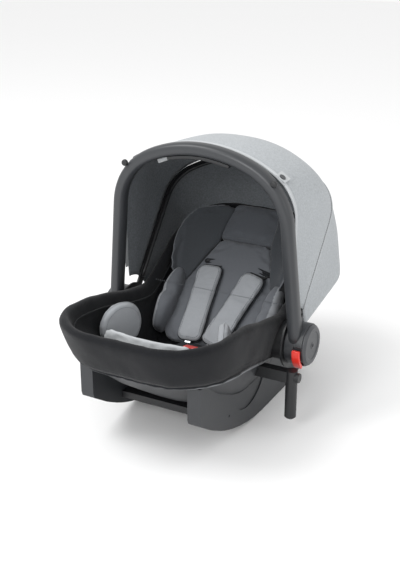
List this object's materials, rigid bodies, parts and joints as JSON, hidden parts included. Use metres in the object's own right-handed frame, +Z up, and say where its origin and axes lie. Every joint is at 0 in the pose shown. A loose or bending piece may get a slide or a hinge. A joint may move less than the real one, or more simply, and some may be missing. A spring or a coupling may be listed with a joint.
{
  "type": "infant car seat",
  "caption": "Portable infant car seat: padded bucket on rocker runners with a turning carry handle, folding canopy, harness and stroller adapters.",
  "frame": {"origin": "on the floor under the middle of the object's box", "axes": "+X across the seat, -Y towards the child's feet, +Z up"},
  "size_m": [0.4402, 0.6946, 0.5241],
  "materials": {
    "shell_plastic": "fine satin grain",
    "handle_plastic": "smooth satin",
    "cap_plastic": "satin",
    "black_plastic": "matt grain",
    "trim_plastic": "matt",
    "red_plastic": "semi gloss",
    "cover_fabric": "knitted jersey",
    "canopy_fabric": "melange weave",
    "canopy_trim": "bound hem",
    "insert_light": "brushed jersey",
    "insert_mid": "brushed jersey",
    "insert_head": "brushed jersey",
    "insert_dark": "brushed jersey",
    "webbing": "woven webbing",
    "steel": "zinc plated",
    "foam": "moulded bead foam"
  },
  "bodies": {
    "shell": {"seat_shell": "shell_plastic", "edge_trim": "trim_plastic", "runner_left": "shell_plastic", "runner_right": "shell_plastic", "brace_front": "shell_plastic", "brace_rear": "shell_plastic", "runner_screws": "steel", "pivot_mount_left": "black_plastic", "pivot_mount_right": "black_plastic", "seat_cover": "cover_fabric", "foam_wedge": "foam", "front_flap": "insert_light", "seat_pad": "insert_mid", "backrest_pad": "insert_mid", "headrest_panel": "insert_head", "head_wing_left": "insert_dark", "head_wing_right": "insert_dark", "side_pad_left": "insert_light", "side_pad_right": "insert_light", "thigh_pad_left": "insert_light", "thigh_pad_right": "insert_light", "harness_strap_left": "webbing", "harness_strap_right": "webbing", "shoulder_pad_left": "insert_light", "shoulder_pad_right": "insert_light", "tongue_left": "steel", "tongue_right": "steel", "buckle_body": "black_plastic", "crotch_strap": "webbing", "adjuster_housing": "black_plastic", "adapter_left": "black_plastic", "adapter_right": "black_plastic", "hub_screws": "steel", "canopy_rear": "canopy_fabric"},
    "handle": {"handle_arch": "handle_plastic", "handle_grip": "shell_plastic", "hub_left": "handle_plastic", "hub_right": "handle_plastic", "hub_cap_left": "cap_plastic", "hub_cap_right": "cap_plastic"},
    "lever_left": {"release_lever_left": "red_plastic"},
    "lever_right": {"release_lever_right": "red_plastic"},
    "canopy_middle": {"canopy_bow": "black_plastic", "bow_plate_left": "black_plastic", "bow_plate_right": "black_plastic"},
    "canopy_edge": {"canopy_front": "canopy_fabric", "canopy_hem": "canopy_trim", "canopy_tabs": "canopy_trim", "canopy_snaps": "black_plastic"},
    "buckle_press": {"buckle_button": "red_plastic"},
    "adjuster_press": {"adjuster_button": "trim_plastic"},
    "catch_left": {"adapter_catch_left": "black_plastic"},
    "catch_right": {"adapter_catch_right": "black_plastic"}
  },
  "joints": [
    {"name": "handle_turn", "type": "hinge", "parent": "shell", "child": "handle", "pos_m": [0, -0.01027, 0.158], "axis": [-1, 0, 0], "range_deg": [0, 104]},
    {"name": "canopy_fold", "type": "hinge", "parent": "shell", "child": "canopy_middle", "pos_m": [0, -0.01027, 0.158], "axis": [-1, 0, 0], "range_deg": [0, 66.1], "deforming": ["canopy_rear"]},
    {"name": "canopy_edge_fold", "type": "hinge", "parent": "canopy_middle", "child": "canopy_edge", "pos_m": [0, -0.01027, 0.158], "axis": [-1, 0, 0], "range_deg": [0, 38.1], "deforming": ["canopy_front"]},
    {"name": "lever_left_push", "type": "slide", "parent": "handle", "child": "lever_left", "axis": [0, 0.9225, 0.3859], "range_m": [0, 0.004], "stiffness_N_per_m": 400, "springref_m": -0.005},
    {"name": "lever_right_push", "type": "slide", "parent": "handle", "child": "lever_right", "axis": [0, 0.9225, 0.3859], "range_m": [0, 0.004], "stiffness_N_per_m": 400, "springref_m": -0.005},
    {"name": "buckle_press_in", "type": "slide", "parent": "shell", "child": "buckle_press", "axis": [0, -0.2079, -0.9781], "range_m": [0, 0.003], "stiffness_N_per_m": 600, "springref_m": -0.004},
    {"name": "adjuster_press_in", "type": "slide", "parent": "shell", "child": "adjuster_press", "axis": [0, -0.2079, -0.9781], "range_m": [0, 0.003], "stiffness_N_per_m": 600, "springref_m": -0.004},
    {"name": "catch_left_press", "type": "slide", "parent": "shell", "child": "catch_left", "axis": [0, -1, 0], "range_m": [0, 0.004], "stiffness_N_per_m": 500, "springref_m": -0.004},
    {"name": "catch_right_press", "type": "slide", "parent": "shell", "child": "catch_right", "axis": [0, -1, 0], "range_m": [0, 0.004], "stiffness_N_per_m": 500, "springref_m": -0.004}
  ],
  "couplings": [
    {"joint": "canopy_fold", "follows": "handle_turn", "ratio": 0.6346},
    {"joint": "canopy_edge_fold", "follows": "handle_turn", "ratio": 0.3654}
  ]
}
